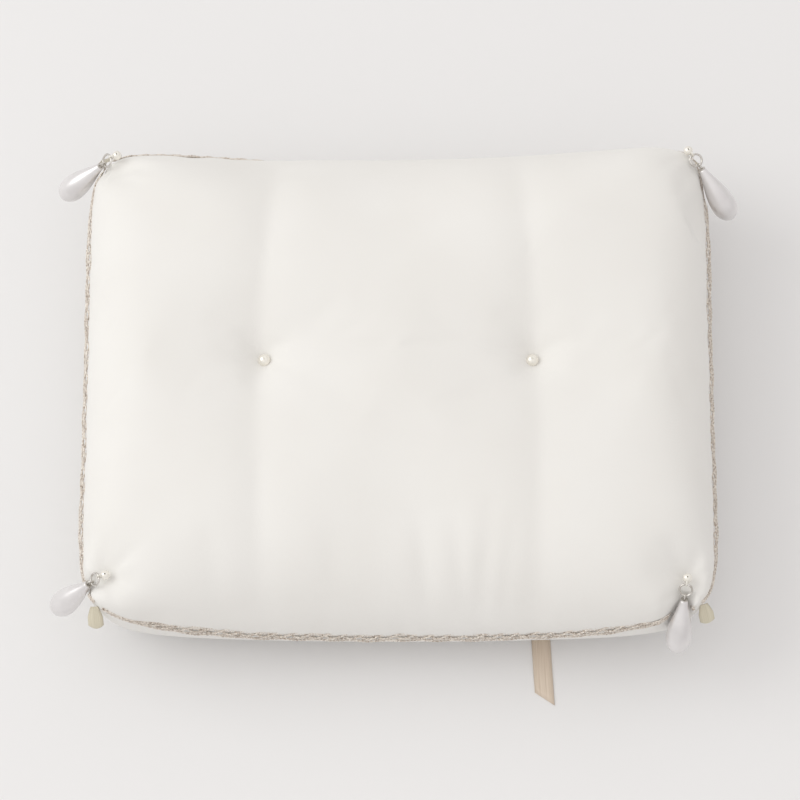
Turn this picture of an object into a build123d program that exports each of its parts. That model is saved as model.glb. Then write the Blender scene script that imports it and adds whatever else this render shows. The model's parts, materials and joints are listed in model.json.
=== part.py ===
from build123d import *
import os
from math import cos, radians, sin, tan

# Ring bearer pillow, lying on its ribbon side with its plain side up. Millimetres, +Z up,
# +X towards the right end and -Y towards the front. The origin is on the resting surface.

os.makedirs("parts", exist_ok=True)

# Stuffed form, level by level: height, half length, half depth, corner radius,
# how far the sides swell out between the corners, and shift towards the front
LEVELS = (
    (0.0, 91.0, 75.0, 18.0, 3.0, 1.0),
    (6.0, 97.5, 80.5, 12.0, 3.0, 1.5),
    (21.0, 101.0, 82.5, 8.0, 3.0, 2.5),
    (36.0, 99.6, 77.8, 6.0, 1.5, 1.5),
    (43.0, 97.0, 72.8, 7.0, 1.0, 0.2),
    (47.5, 91.0, 66.0, 13.0, 1.0, 0.0),
    (50.5, 81.0, 56.0, 20.0, 1.0, 0.0),
)
FULL_HEIGHT = LEVELS[-1][0]
COVER = 0.8  # thickness of the cover cloth with its lining

# Seam between the two covers: low along the sides, high at the tied corners
SEAM_FRONT = 20.0
SEAM_BACK = 15.0
SEAM_SIDE = 22.0
SEAM_CORNER = 36.5
CORNER_X = 94.3
CORNER_Y = 78.5
BRAID_WIDTH = 6.0
BRAID_THICK = 1.8

# Tufts
TUFT_X = 42.6
TUFT_TOP = 41.0  # floor of the dimple on the plain side
TUFT_UNDER = 5.2  # floor of the dimple on the ribbon side
TUFT_PEARL = 2.0  # radius
THREAD = 0.35  # radius

# Ring ribbons: centre lines seen from above, from the hidden tail to the seen one
RIBBON_WIDTH = 6.0
RIBBON_THICK = 0.3
RIBBON_GAP = 0.25
STITCH_DROP = 0.6  # from the top of the underside's dimple to the ribbon's middle line
LIFT_START = 19.0  # where a ribbon leaves the table, either side of its tuft
LIFT_END = 4.5
RIBBON_CUT = 8.0  # how far the slanting cut runs back along the ribbon
ARC_SHARE = 0.45  # how much of the shorter run beside a corner its arc may use
RIBBONS = {
    "right": (
        (37.0, 70.0),
        (38.6, 47.0),
        (40.8, 23.0),
        (42.6, 0.0),
        (44.2, -24.0),
        (44.6, -49.0),
        (45.2, -74.0),
        (46.6, -99.0),
    ),
    "left": (
        (-38.5, -70.0),
        (-39.2, -47.0),
        (-40.6, -23.0),
        (-42.6, 0.0),
        (-45.2, 22.0),
        (-47.4, 44.0),
        (-48.6, 66.0),
        (-49.2, 87.5),
    ),
}

# Corner charms: bead, thread loop, jump ring, eye pin and drop
BEAD = 1.5  # radius
LOOP = 1.0  # radius of the thread loop's centre line
LOOP_THREAD = 0.22
LOOP_REACH = 2.1  # bead centre to where the ring passes through the loop
RING = 2.0  # radius of the jump ring's centre line
RING_WIRE = 0.35
EYE = 0.95
EYE_WIRE = 0.25
EYE_HANG = 0.3  # eye centre below the wire that it hangs on
CAP = 1.15  # radius of the pin's cap
CAP_THICK = 0.5
PIN_DEPTH = 6.0
DROP_LENGTH = 19.5
DROP_RADIUS = 4.1
LOOP_SINK = 0.5  # how much of the thread loop is inside the bead
RING_SWING = 80.0  # how far a jump ring swings up about the thread loop
CHARM_SWING = 50.0  # how far a drop swings up on its jump ring
CLEAR = 0.35  # room that the soft trim leaves for a charm
CORNERS = {  # bead centre, heading of the charm in plan, dip of the ring, dip of the drop
    "back_left": ((-91.2, 72.4, 41.5), -161.0, 50.0, 46.0),
    "back_right": ((94.0, 74.6, 40.5), -51.0, 25.0, 34.0),
    "front_left": ((-91.6, -72.2, 42.0), -165.0, 50.0, 54.0),
    "front_right": ((90.3, -73.2, 42.0), -99.0, 48.0, 54.0),
}

# Satin loops caught in the seam at the corners: root, outward heading and dip
LOOP_LENGTH = 10.5
LOOP_WIDTH = 4.6
LOOP_THICK = 0.9
LOOP_ROOT = 2.0  # length that goes into the seam
LOOP_WIDEST = 0.62  # share of the length from the root to the widest place
LEAVES = {
    "back_left": ((-95.0, 75.0, 34.0), 110.0, 74.0),
    "back_right": ((95.0, 75.0, 34.0), 70.0, 74.0),
    "front_left": ((-94.4, -78.0, 36.0), -97.0, 45.0),
    "front_right": ((95.6, -77.0, 36.0), -78.0, 52.0),
}


def polar(heading, dip):
    """Unit vector that points along a heading in plan and dips below the horizontal."""
    flat = cos(radians(dip))
    return Vector(flat * cos(radians(heading)), flat * sin(radians(heading)), -sin(radians(dip)))


def form(inset):
    """The stuffed form, moved inwards by inset on every side; a negative inset swells it."""
    with BuildPart() as body:
        for height, half_x, half_y, corner, swell, shift in LEVELS:
            level = inset + height * (FULL_HEIGHT - 2 * inset) / FULL_HEIGHT
            x = half_x - inset
            y = half_y - inset
            near_x = x - swell
            near_y = y - swell
            with BuildSketch(Plane((0, -shift, level))) as outline:
                with BuildLine():
                    ThreePointArc((-near_x, -near_y), (0, -y), (near_x, -near_y))
                    ThreePointArc((near_x, -near_y), (x, 0), (near_x, near_y))
                    ThreePointArc((near_x, near_y), (0, y), (-near_x, near_y))
                    ThreePointArc((-near_x, near_y), (-x, 0), (-near_x, -near_y))
                make_face()
                fillet(outline.vertices(), corner - inset)
        loft()
    return body.part


def seam_profile(middle, corner, lift):
    """Region under the seam as seen along one side."""
    reach = 1.3 * corner
    top = SEAM_CORNER + 10 + lift
    with BuildSketch() as region:
        with BuildLine():
            Spline(
                (-reach, top),
                (-corner, SEAM_CORNER + lift),
                (-0.62 * corner, middle + 5 + lift),
                (0, middle + lift),
                (0.62 * corner, middle + 5 + lift),
                (corner, SEAM_CORNER + lift),
                (reach, top),
            )
            Polyline((reach, top), (reach, -10), (-reach, -10), (-reach, top))
        make_face()
    return region.sketch


def under_seam(lift):
    """Everything below the seam line, which is moved up by lift."""
    with BuildPart() as tool:
        with BuildSketch(Plane.XZ):
            add(seam_profile(SEAM_FRONT, CORNER_X, lift))
        extrude(amount=120)
        with BuildSketch(Plane.XZ):
            add(seam_profile(SEAM_BACK, CORNER_X, lift))
        extrude(amount=-120)
        with BuildSketch(Plane.YZ):
            add(seam_profile(SEAM_SIDE, CORNER_Y, lift))
        extrude(amount=130, both=True, mode=Mode.INTERSECT)
    return tool.part


def dimple(x, floor, floor_radius, mouth, mouth_radius, grow):
    """Tapered hollow at a tuft, grown by the thickness of the cloth that lines it."""
    away = -1 if mouth > floor else 1
    with BuildPart() as hollow:
        with BuildSketch(Plane.XZ):
            with BuildLine():
                Polyline(
                    (0, floor + away * grow),
                    (floor_radius + grow, floor + away * grow),
                    (mouth_radius + grow, mouth),
                    (mouth_radius + grow, mouth - away * 3),
                    (0, mouth - away * 3),
                    close=True,
                )
            make_face()
        revolve(axis=Axis.Z)
    return Pos(x, 0, 0) * hollow.part


def tuft_hollows(grow):
    """Both dimples of both tufts."""
    hollows = []
    for x in (-TUFT_X, TUFT_X):
        hollows.append(dimple(x, TUFT_TOP, 3.0, FULL_HEIGHT, 22.0, grow))
        hollows.append(dimple(x, TUFT_UNDER, 6.0, 0.0, 21.0, grow))
    return hollows


def widest_arc(points):
    """Largest arc radius that fits every corner of a route of (across, along) points."""
    radii = []
    for before, here, after in zip(points, points[1:], points[2:]):
        run_in = Vector(*here) - Vector(*before)
        run_out = Vector(*after) - Vector(*here)
        half_turn = radians(run_in.get_angle(run_out)) / 2
        radii.append(ARC_SHARE * min(run_in.length, run_out.length) / tan(half_turn))
    return min(radii)


def ribbon_plan(points, width):
    """Outline of a ribbon from above."""
    with BuildLine() as route:
        FilletPolyline(*points, radius=widest_arc(points))
    with BuildSketch() as plan:
        trace(route.line, width)
    return plan.sketch


def ribbon_side(width):
    """Outline of both ribbons from the side: flat on the table, up to the stitch and down again."""
    low = RIBBON_THICK / 2
    high = TUFT_UNDER - STITCH_DROP
    points = (
        (-1.5 * CORNER_Y, low),
        (-LIFT_START, low),
        (-LIFT_END, high),
        (LIFT_END, high),
        (LIFT_START, low),
        (1.5 * CORNER_Y, low),
    )
    with BuildLine() as route:
        FilletPolyline(*points, radius=widest_arc(points))
    with BuildSketch() as side:
        trace(route.line, width)
    return side.sketch


def charm(corner):
    """Places along one corner's charm, with the directions that they share."""
    bead, heading, ring_dip, drop_dip = CORNERS[corner]
    outward = polar(heading, 0)
    hinge = Vector(outward.Y, -outward.X, 0)
    hinge_1 = Vector(*bead) + outward * LOOP_REACH
    ring_way = polar(heading, ring_dip)
    drop_way = polar(heading, drop_dip)
    hinge_2 = hinge_1 + ring_way * (2 * RING)
    return {
        "bead": Vector(*bead),
        "outward": outward,
        "hinge": hinge,
        "hinge_1": hinge_1,
        "ring_way": ring_way,
        "ring": hinge_1 + ring_way * RING,
        "drop_way": drop_way,
        "hinge_2": hinge_2,
        "eye": hinge_2 + drop_way * EYE_HANG,
        "cap": hinge_2 + drop_way * (EYE_HANG + EYE),
    }


def drop_profile(grow):
    """Half outline of a drop: local X outwards, local Y along it."""
    with BuildSketch() as half:
        with BuildLine():
            Line((0, -grow), (CAP + grow, -grow))
            Spline(
                (CAP + grow, -grow),
                (0.74 * DROP_RADIUS + grow, 0.38 * DROP_LENGTH),
                (DROP_RADIUS + grow, 0.70 * DROP_LENGTH),
                (0, DROP_LENGTH + grow),
                tangents=((0.2, 1), (-1, 0)),
            )
            Line((0, DROP_LENGTH + grow), (0, -grow))
        make_face()
    return half.sketch


def drop_body(places, grow):
    """The drop's plain outer shape, grown by a clearance."""
    start = places["cap"] + places["drop_way"] * CAP_THICK
    side_on = places["hinge"].cross(places["drop_way"])
    with BuildPart() as body:
        with BuildSketch(Plane(start, x_dir=places["hinge"], z_dir=side_on)):
            add(drop_profile(grow))
        revolve(axis=Axis(start, places["drop_way"]))
    return body.part


def ring_plane(here):
    """The plane that a resting jump ring lies in."""
    return Plane(here["ring"], x_dir=here["ring_way"], z_dir=here["ring_way"].cross(here["hinge"]))


def loop_plane(here):
    """The upright plane of a bead's thread loop, half sunk in the bead."""
    middle = here["bead"] + here["outward"] * (LOOP_REACH - LOOP_SINK)
    return Plane(middle, x_dir=here["outward"], z_dir=here["hinge"])


def charm_room(here):
    """The space that a resting charm takes up beside the pillow, with its clearance."""
    way = here["drop_way"]
    wire = RING_WIRE + CLEAR
    with BuildPart() as room:
        add(drop_body(here, CLEAR))
        with Locations(here["eye"]):
            Sphere(EYE + EYE_WIRE + CLEAR)
        with Locations(Plane(here["eye"], x_dir=here["hinge"], z_dir=way)):
            Cylinder(CAP + CLEAR, EYE + CAP_THICK, align=(Align.CENTER, Align.CENTER, Align.MIN))
        with Locations(ring_plane(here)):
            Cylinder(RING + wire, 2 * wire)
    return room.part


def ring_sweep(here):
    """The space that a jump ring passes through as it swings up."""
    wire = RING_WIRE + CLEAR
    flat = Plane(here["hinge_1"], x_dir=here["hinge"], z_dir=here["hinge"].cross(here["ring_way"]))
    with BuildPart() as sweep:
        with BuildSketch(flat):
            with Locations((0, RING)):
                Circle(RING + wire)
            Rectangle(4 * RING, 2 * RING, align=(Align.CENTER, Align.MAX), mode=Mode.SUBTRACT)
        revolve(axis=Axis(here["hinge_1"], here["hinge"]), revolution_arc=RING_SWING)
    return sweep.part


def drop_sweep(here, pivot, swing):
    """The space that an eye pin and its drop pass through as they swing up about a pivot."""
    flat = Plane(here["hinge_2"], x_dir=here["hinge"], z_dir=here["hinge"].cross(here["drop_way"]))
    with BuildPart() as sweep:
        with BuildSketch(flat):
            with Locations((0, EYE_HANG)):
                Circle(EYE + EYE_WIRE + CLEAR)
            with Locations((0, EYE_HANG + EYE + CAP_THICK)):
                add(drop_profile(CLEAR))
                add(drop_profile(CLEAR).mirror(Plane.YZ))
            Rectangle(4 * EYE, 4 * EYE, align=(Align.CENTER, Align.MAX), mode=Mode.SUBTRACT)
        revolve(axis=Axis(here[pivot], here["hinge"]), revolution_arc=swing)
    return sweep.part


def swing_rooms(here):
    """All the space that a charm needs beside the pillow: at rest, swung up, and on the way."""
    rest = charm_room(here)
    return (
        rest,
        rest.rotate(Axis(here["hinge_1"], here["hinge"]), RING_SWING),
        drop_body(here, CLEAR).rotate(Axis(here["hinge_2"], here["hinge"]), CHARM_SWING),
        ring_sweep(here),
        drop_sweep(here, "hinge_1", RING_SWING),
        drop_sweep(here, "hinge_2", CHARM_SWING),
    )


places = {corner: charm(corner) for corner in CORNERS}
outer = form(0)
inner = form(COVER)
below = under_seam(0)
charm_rooms = [room for corner in CORNERS for room in swing_rooms(places[corner])]

# Filling, in one piece, with a hole for each tuft thread
with BuildPart() as filling:
    add(inner)
    for hollow in tuft_hollows(COVER):
        add(hollow, mode=Mode.SUBTRACT)
    with Locations((-TUFT_X, 0, FULL_HEIGHT / 2), (TUFT_X, 0, FULL_HEIGHT / 2)):
        Cylinder(THREAD, FULL_HEIGHT, mode=Mode.SUBTRACT)
    for room in charm_rooms:
        add(room, mode=Mode.SUBTRACT)
    for corner in CORNERS:
        with Locations(places[corner]["bead"]):
            Sphere(BEAD + COVER, mode=Mode.SUBTRACT)
        with Locations(places[corner]["hinge_1"]):
            Sphere(2 * RING + RING_WIRE + CLEAR, mode=Mode.SUBTRACT)
    for scrap in filling.solids().sort_by(SortBy.VOLUME)[:-1]:
        add(scrap, mode=Mode.SUBTRACT)
filling.part.label = "filling"
export_step(filling.part, "parts/filling.step")

# Cover shell, with the dimples, the thread holes, the beads' nests and the ribbons' channels
with BuildPart() as shell:
    add(outer)
    add(inner, mode=Mode.SUBTRACT)
    for hollow in tuft_hollows(COVER):
        add(hollow & inner)
    for hollow in tuft_hollows(0):
        add(hollow, mode=Mode.SUBTRACT)
    with Locations((-TUFT_X, 0, FULL_HEIGHT / 2), (TUFT_X, 0, FULL_HEIGHT / 2)):
        Cylinder(THREAD, FULL_HEIGHT, mode=Mode.SUBTRACT)
    for points in RIBBONS.values():
        with BuildSketch(Plane.XY.offset(-1)):
            add(ribbon_plan(points, RIBBON_WIDTH + 2 * RIBBON_GAP))
        extrude(amount=1 + RIBBON_THICK + RIBBON_GAP, mode=Mode.SUBTRACT)
    for room in charm_rooms:
        add(room, mode=Mode.SUBTRACT)

for name, mode in (("upper_cover", Mode.SUBTRACT), ("lower_cover", Mode.INTERSECT)):
    with BuildPart() as cover:
        add(shell.part)
        add(below, mode=mode)
        for corner in CORNERS:
            with Locations(places[corner]["bead"]):
                Sphere(BEAD, mode=Mode.SUBTRACT)
            with Locations(loop_plane(places[corner])):
                Torus(LOOP, LOOP_THREAD, mode=Mode.SUBTRACT)
        for scrap in cover.solids().sort_by(SortBy.VOLUME)[:-1]:
            add(scrap, mode=Mode.SUBTRACT)
    cover.part.label = name
    export_step(cover.part, f"parts/{name}.step")

# Gimp braid over the seam, one length along each side
with BuildPart() as trim:
    add(form(-BRAID_THICK))
    add(outer, mode=Mode.SUBTRACT)
    add(under_seam(BRAID_WIDTH / 2), mode=Mode.INTERSECT)
    add(under_seam(-BRAID_WIDTH / 2), mode=Mode.SUBTRACT)
    for room in charm_rooms:
        add(room, mode=Mode.SUBTRACT)
    for corner in CORNERS:
        with Locations(places[corner]["bead"]):
            Sphere(BEAD + COVER, mode=Mode.SUBTRACT)

far = 1.4  # how many times the corner's distance each side's wedge reaches
for name, side_x, side_y in (("front", 0, -1), ("back", 0, 1), ("left", -1, 0), ("right", 1, 0)):
    with BuildPart() as braid:
        with BuildSketch():
            Polygon(
                (0, 0),
                (far * CORNER_X * (side_x - abs(side_y)), far * CORNER_Y * (side_y - abs(side_x))),
                (far * CORNER_X * (side_x + abs(side_y)), far * CORNER_Y * (side_y + abs(side_x))),
                align=None,
            )
        extrude(amount=FULL_HEIGHT)
        add(trim.part, mode=Mode.INTERSECT)
        for scrap in braid.solids().sort_by(SortBy.VOLUME)[:-1]:
            add(scrap, mode=Mode.SUBTRACT)
    braid.part.label = f"braid_{name}"
    export_step(braid.part, f"parts/braid_{name}.step")

# Tufts: a pearl on the plain side, and a thread from it through the filling to a knot
for side, x in (("left", -TUFT_X), ("right", TUFT_X)):
    with BuildPart() as pearl:
        with Locations((x, 0, TUFT_TOP + TUFT_PEARL)):
            Sphere(TUFT_PEARL)
            Cylinder(THREAD, 3 * TUFT_PEARL, mode=Mode.SUBTRACT)
    pearl.part.label = f"tuft_pearl_{side}"
    export_step(pearl.part, f"parts/tuft_pearl_{side}.step")

    knot_top = TUFT_UNDER - STITCH_DROP - RIBBON_THICK / 2
    thread_top = TUFT_TOP + 2 * TUFT_PEARL
    with BuildPart() as thread:
        with Locations((x, 0, knot_top)):
            Cylinder(THREAD, thread_top - knot_top, align=(Align.CENTER, Align.CENTER, Align.MIN))
            Cylinder(2.5 * THREAD, 3 * THREAD, align=(Align.CENTER, Align.CENTER, Align.MAX))
        fillet(thread.edges().group_by(Axis.Z)[0], THREAD)
    thread.part.label = f"tuft_thread_{side}"
    export_step(thread.part, f"parts/tuft_thread_{side}.step")

# Ring ribbons, stitched at the tufts, one tail towards each long side
print("ribbon width", RIBBON_WIDTH, "thickness", RIBBON_THICK)
for side, points in RIBBONS.items():
    print("ribbon", side, "least arc radius from above", round(widest_arc(points), 1))
    end_x, end_y = points[-1]
    tail_way = 1 if end_y > 0 else -1
    with BuildPart() as ribbon:
        with BuildSketch() as plan:
            add(ribbon_plan(points, RIBBON_WIDTH))
            Polygon(
                (end_x - RIBBON_WIDTH, end_y + tail_way),
                (end_x + RIBBON_WIDTH, end_y + tail_way),
                (end_x - RIBBON_WIDTH, end_y - tail_way * RIBBON_CUT),
                align=None,
                mode=Mode.SUBTRACT,
            )
        extrude(amount=FULL_HEIGHT)
        with BuildSketch(Plane.YZ):
            add(ribbon_side(RIBBON_THICK))
        extrude(amount=2 * TUFT_X, both=True, mode=Mode.INTERSECT)
        with Locations((points[3][0], points[3][1], 0)):
            Cylinder(THREAD, FULL_HEIGHT, mode=Mode.SUBTRACT)
    ribbon.part.label = f"ring_ribbon_{side}"
    export_step(ribbon.part, f"parts/ring_ribbon_{side}.step")

# Charms at the tied corners
for corner in CORNERS:
    here = places[corner]
    with BuildPart() as loop:
        with Locations(loop_plane(here)):
            Torus(LOOP, LOOP_THREAD)
    loop.part.label = f"thread_loop_{corner}"
    export_step(loop.part, f"parts/thread_loop_{corner}.step")

    with BuildPart() as bead:
        with Locations(here["bead"]):
            Sphere(BEAD)
        add(loop.part, mode=Mode.SUBTRACT)
    bead.part.label = f"corner_bead_{corner}"
    export_step(bead.part, f"parts/corner_bead_{corner}.step")

    with BuildPart() as ring:
        with Locations(ring_plane(here)):
            Torus(RING, RING_WIRE)
    ring.part.label = f"jump_ring_{corner}"
    export_step(ring.part, f"parts/jump_ring_{corner}.step")

    way = here["drop_way"]
    along = Plane(here["cap"], x_dir=here["hinge"], z_dir=way)
    with BuildPart() as pin:
        with Locations(Plane(here["eye"], x_dir=way, z_dir=here["hinge"])):
            Torus(EYE, EYE_WIRE)
        with Locations(along):
            Cylinder(CAP, CAP_THICK, align=(Align.CENTER, Align.CENTER, Align.MIN))
            Cylinder(EYE_WIRE, CAP_THICK + PIN_DEPTH, align=(Align.CENTER, Align.CENTER, Align.MIN))
    pin.part.label = f"eye_pin_{corner}"
    export_step(pin.part, f"parts/eye_pin_{corner}.step")

    with BuildPart() as drop:
        add(drop_body(here, 0))
        with Locations(along):
            Cylinder(
                EYE_WIRE,
                CAP_THICK + PIN_DEPTH,
                align=(Align.CENTER, Align.CENTER, Align.MIN),
                mode=Mode.SUBTRACT,
            )
    drop.part.label = f"drop_{corner}"
    export_step(drop.part, f"parts/drop_{corner}.step")

    root, heading, dip = LEAVES[corner]
    way = polar(heading, dip)
    across = Vector(way.Y, -way.X, 0).normalized()
    with BuildPart() as leaf:
        with BuildSketch(Plane(root, x_dir=across, z_dir=across.cross(way))):
            with BuildLine():
                Spline(
                    (0, -LOOP_ROOT),
                    (LOOP_WIDTH / 2, LOOP_WIDEST * LOOP_LENGTH),
                    (0, LOOP_LENGTH),
                    tangents=((0.25, 1), (-1, 0)),
                )
                Spline(
                    (0, LOOP_LENGTH),
                    (-LOOP_WIDTH / 2, LOOP_WIDEST * LOOP_LENGTH),
                    (0, -LOOP_ROOT),
                    tangents=((-1, 0), (0.25, -1)),
                )
            make_face()
        extrude(amount=LOOP_THICK / 2, both=True)
        add(outer, mode=Mode.SUBTRACT)
        add(trim.part, mode=Mode.SUBTRACT)
    leaf.part.label = f"corner_loop_{corner}"
    export_step(leaf.part, f"parts/corner_loop_{corner}.step")
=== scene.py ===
import json
from math import asin, cos, pi, radians, sin

import bmesh
import bpy
import numpy as np
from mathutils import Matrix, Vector
from mathutils.geometry import interpolate_bezier


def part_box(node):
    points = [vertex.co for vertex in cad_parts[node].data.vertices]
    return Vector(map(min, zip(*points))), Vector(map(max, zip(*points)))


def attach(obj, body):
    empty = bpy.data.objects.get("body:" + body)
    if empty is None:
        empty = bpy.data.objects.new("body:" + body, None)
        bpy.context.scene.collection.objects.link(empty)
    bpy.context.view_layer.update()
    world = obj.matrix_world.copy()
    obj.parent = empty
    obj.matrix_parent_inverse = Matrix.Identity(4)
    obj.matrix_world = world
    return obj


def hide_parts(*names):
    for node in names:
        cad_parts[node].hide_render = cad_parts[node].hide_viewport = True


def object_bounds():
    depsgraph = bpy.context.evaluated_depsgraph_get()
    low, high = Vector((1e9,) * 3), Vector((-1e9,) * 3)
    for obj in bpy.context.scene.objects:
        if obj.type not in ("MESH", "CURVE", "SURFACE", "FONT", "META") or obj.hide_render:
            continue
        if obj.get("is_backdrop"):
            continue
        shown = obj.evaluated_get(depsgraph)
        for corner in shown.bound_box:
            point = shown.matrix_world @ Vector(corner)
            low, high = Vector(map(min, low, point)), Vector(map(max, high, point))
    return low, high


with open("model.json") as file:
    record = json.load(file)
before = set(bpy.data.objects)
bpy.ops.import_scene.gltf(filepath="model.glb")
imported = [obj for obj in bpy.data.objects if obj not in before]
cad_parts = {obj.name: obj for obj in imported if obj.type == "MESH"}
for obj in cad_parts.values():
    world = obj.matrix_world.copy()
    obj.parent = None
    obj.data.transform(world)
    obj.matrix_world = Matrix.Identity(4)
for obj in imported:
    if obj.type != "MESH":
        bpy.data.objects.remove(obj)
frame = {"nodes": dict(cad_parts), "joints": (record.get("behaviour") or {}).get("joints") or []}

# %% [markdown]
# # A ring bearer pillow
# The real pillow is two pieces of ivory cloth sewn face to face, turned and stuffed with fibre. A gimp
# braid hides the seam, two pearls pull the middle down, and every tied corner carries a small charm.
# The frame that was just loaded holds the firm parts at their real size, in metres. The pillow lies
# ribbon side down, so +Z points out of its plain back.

MM = 0.001
cad_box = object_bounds()
print("CAD box", [[round(c, 4) for c in corner] for corner in cad_box])

# %% [markdown]
# ## The camera
# A small thing looks right from some way off through a long lens, because its near edge then isn't
# much wider than its far one. This camera looks down steeply, a little from the front. It could be
# dragged into place by hand. Here an aim point, a tilt and a distance place it, so that each of the
# three can be changed without upsetting the others.

# %% camera
AIM = Vector((0.0005, -0.0124, 0.0400))
TILT = radians(22.0)
DISTANCE = 1.5
SEEN_WIDTH = 0.254  # metres across the view, at the aim point's distance
SENSOR_WIDTH = 36  # millimetres, as in most cameras

camera_data = bpy.data.cameras.new("camera")
camera = bpy.data.objects.new("camera", camera_data)
bpy.context.collection.objects.link(camera)
camera.location = AIM + DISTANCE * Vector((0, -sin(TILT), cos(TILT)))
camera.rotation_euler = (TILT, 0, 0)
camera_data.sensor_width = SENSOR_WIDTH
camera_data.lens = SENSOR_WIDTH * DISTANCE / SEEN_WIDTH
camera_data.clip_end = 20
bpy.context.scene.camera = camera
print("lens", round(camera_data.lens, 1), "mm")

# %% [markdown]
# ## Small helpers
# Every finished piece is one mesh object at the origin whose place is in its mesh. The same few lines
# could follow each piece; one helper does it for all, so none is forgotten. It merges double points,
# turns the faces outwards, smooths them and tells the frame which body the piece moves with.

# %% helpers
SAME_POINT = 0.2e-6  # points closer than this are one


def finish_piece(name, bm, material, stands_for, body="pillow"):
    """Turn a bmesh into a named piece that rides on a body and stands for one CAD node."""
    bmesh.ops.remove_doubles(bm, verts=bm.verts, dist=SAME_POINT)
    bmesh.ops.recalc_face_normals(bm, faces=bm.faces)
    mesh = bpy.data.meshes.new(name)
    bm.to_mesh(mesh)
    bm.free()
    mesh.polygons.foreach_set("use_smooth", [True] * len(mesh.polygons))
    piece = bpy.data.objects.new(name, mesh)
    bpy.context.collection.objects.link(piece)
    mesh.materials.append(material)
    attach(piece, body)
    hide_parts(stands_for)
    print(name, len(mesh.polygons), "faces")
    return piece


# %% [markdown]
# ## Where things are
# Places come from the frame: the boxes of the CAD nodes give the tufts, the beads and the seam's reach,
# and the joints give the line that each jump ring and each drop swings about. A drop's direction
# follows from its hinge and from the middle of its box. Typed numbers would do until the form changes.

# %% places from the frame
SEAM_INSET = 1.3 * MM  # the seam's line runs this far inside the cover's widest place


def centre(node):
    low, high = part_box(node)
    return (low + high) / 2


CORNERS = ("back_left", "back_right", "front_left", "front_right")
joints = {joint["name"]: joint for joint in frame["joints"]}
beads = {corner: centre(f"corner_bead_{corner}") for corner in CORNERS}
tufts = {side: centre(f"tuft_pearl_{side}") for side in ("left", "right")}
BEAD_RADIUS = (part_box("corner_bead_back_left")[1].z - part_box("corner_bead_back_left")[0].z) / 2
TUFT_RADIUS = (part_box("tuft_pearl_left")[1].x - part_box("tuft_pearl_left")[0].x) / 2
top_of_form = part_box("upper_cover")[1].z
half_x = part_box("lower_cover")[1].x - SEAM_INSET
front_y, back_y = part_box("lower_cover")[0].y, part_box("lower_cover")[1].y
print("tufts", {side: [round(c, 4) for c in place] for side, place in tufts.items()})

# %% how the charms lie
DROP_LENGTH = 19.5 * MM
DROP_RADIUS = 4.1 * MM
CAP_LIFT = 1.75 * MM  # from the hinge on the jump ring to the top of the pearl


def charm_way(corner):
    """Unit vector along a resting drop: across its hinge line, towards its far end."""
    hinge = Vector(joints[f"charm_swing_{corner}"]["axis"]).normalized()
    start = Vector(joints[f"charm_swing_{corner}"]["pos_m"])
    way = centre(f"drop_{corner}") - start
    way -= way.dot(hinge) * hinge
    return start, way.normalized(), hinge


charms = {corner: charm_way(corner) for corner in CORNERS}
print("charms lie towards", {corner: [round(c, 2) for c in charms[corner][1]] for corner in CORNERS})

# %% [markdown]
# ## The line of the seam
# Seen from above the seam is a rectangle with swollen sides and tight corners, which a superellipse with
# a high power draws well. Seen from the side it hangs low along each side and climbs to the tied
# corners. Both are one formula of the direction from the middle, so the cloth and the braid share them.

# %% seam line
SEAM_POWER = 11.3
SEAM_SHIFT = (front_y + back_y) / 2
HALF_Y = (back_y - front_y) / 2
CORNER_HEIGHT = 36.5 * MM
SEAM_TOP = 38.5 * MM  # nothing of the seam is higher than this
SEAM_MIDDLE = {"front": 20 * MM, "back": 15 * MM, "side": 22 * MM}  # its height halfway along
CLIMB_X, CLIMB_Y = 94.3 * MM, 77.0 * MM  # where the seam has reached its corner height
CLIMB_POWER = 2.5  # it stays low for long, then climbs


def seam_height(x, y):
    """Height of the seam over a point of its outline, for arrays of plan positions."""
    reach_x = np.abs(x) / CLIMB_X
    reach_y = np.abs(y - SEAM_SHIFT) / CLIMB_Y
    middle = np.where(y < 0, SEAM_MIDDLE["front"], SEAM_MIDDLE["back"])
    along_x = middle + (CORNER_HEIGHT - middle) * reach_x**CLIMB_POWER
    along_y = SEAM_MIDDLE["side"] + (CORNER_HEIGHT - SEAM_MIDDLE["side"]) * reach_y**CLIMB_POWER
    return np.minimum(along_x, along_y)


def seam_plan(u, v):
    """Plan position on the seam for a point (u, v) on the edge of the square from -1 to 1."""
    round_off = (np.abs(u) ** SEAM_POWER + np.abs(v) ** SEAM_POWER) ** (-1 / SEAM_POWER)
    return half_x * u * round_off, SEAM_SHIFT + HALF_Y * v * round_off


print("seam", round(2000 * half_x, 1), "by", round(2000 * HALF_Y, 1), "mm")

# %% [markdown]
# ## Room for the charms
# Each drop and each jump ring lies on the cloth and presses a hollow into it. The hollow is a limit on
# how far out a point may be: it follows the charm's underside, and rises on both sides of it at an
# easy slope. Points of the cloth or the braid that are further out are moved in to it.

# %% pressing soft points in under a charm
SIDE_SLOPE, END_SLOPE = 0.9, 1.2  # how steeply a hollow rises beside a charm, and past its ends
PRESS_PAST, PRESS_BESIDE, PRESS_ABOVE = 12 * MM, 14 * MM, 16 * MM  # points further off are left alone


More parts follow.
